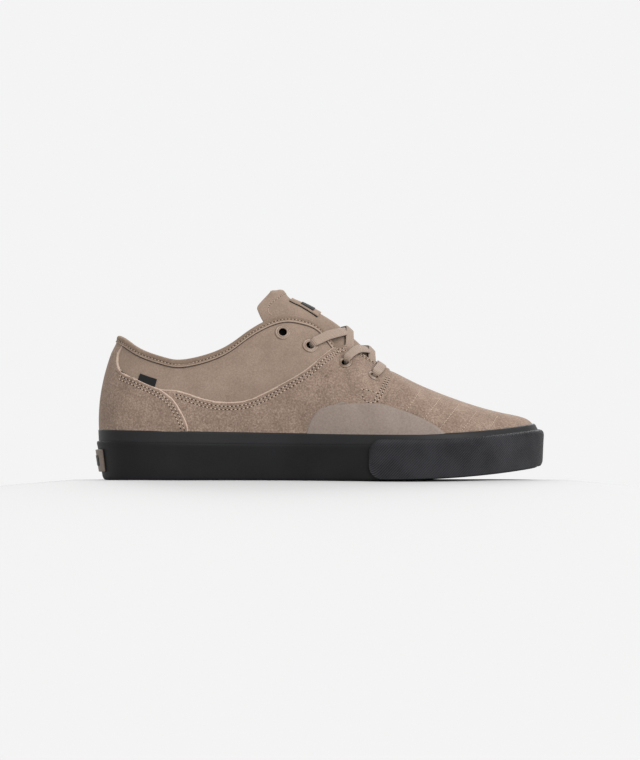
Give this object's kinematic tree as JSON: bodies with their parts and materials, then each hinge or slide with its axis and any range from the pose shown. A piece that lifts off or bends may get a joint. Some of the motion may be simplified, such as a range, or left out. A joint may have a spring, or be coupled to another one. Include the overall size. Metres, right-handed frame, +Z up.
{
  "type": "low-top skateboarding shoe",
  "caption": "Low-top lace-up skateboarding shoe for the right foot, suede upper with side overlays on a flat black cup sole with a toe bumper.",
  "frame": {"origin": "on the ground, under the middle of the outsole's length and on its lengthwise middle line", "axes": "+X from heel to toe, +Y from the outer side to the inner side of the foot, +Z up"},
  "size_m": [0.3009, 0.1069, 0.1277],
  "materials": {
    "outsole_rubber": "matt moulded rubber, near black",
    "foxing_rubber": "satin rubber tape, near black",
    "bumper_rubber": "finely ribbed rubber, near black",
    "badge_rubber": "matt tan rubber",
    "black_trim": "plain black, no marks",
    "insole_cloth": "black knitted cloth on foam",
    "upper_suede": "smooth tan suede",
    "overlay_suede": "napped tan suede",
    "patch_coating": "smooth coated suede, a little greyer",
    "collar_lining": "padded tan textile",
    "tongue_suede": "padded tan suede",
    "lace_cotton": "flat woven tan lace",
    "eyelet_metal": "tan enamel on pressed metal"
  },
  "bodies": {
    "root": {"outsole": "outsole_rubber", "foxing": "foxing_rubber", "toe_bumper": "bumper_rubber", "heel_badge": "badge_rubber", "heel_badge_inlay": "black_trim", "insole": "insole_cloth", "upper": "upper_suede", "heel_counter": "overlay_suede", "side_panel_lateral": "overlay_suede", "side_panel_medial": "overlay_suede", "ollie_patch": "patch_coating", "side_tag": "black_trim", "collar": "collar_lining", "tongue": "tongue_suede", "tongue_label": "tongue_suede", "tongue_plate": "black_trim", "lace_bar": "lace_cotton", "lace_cross_lower": "lace_cotton", "lace_cross_upper": "lace_cotton", "eyelet_lateral_1": "eyelet_metal", "eyelet_lateral_2": "eyelet_metal", "eyelet_lateral_3": "eyelet_metal", "eyelet_lateral_4": "eyelet_metal", "eyelet_medial_1": "eyelet_metal", "eyelet_medial_2": "eyelet_metal", "eyelet_medial_3": "eyelet_metal", "eyelet_medial_4": "eyelet_metal"}
  },
  "joints": []
}
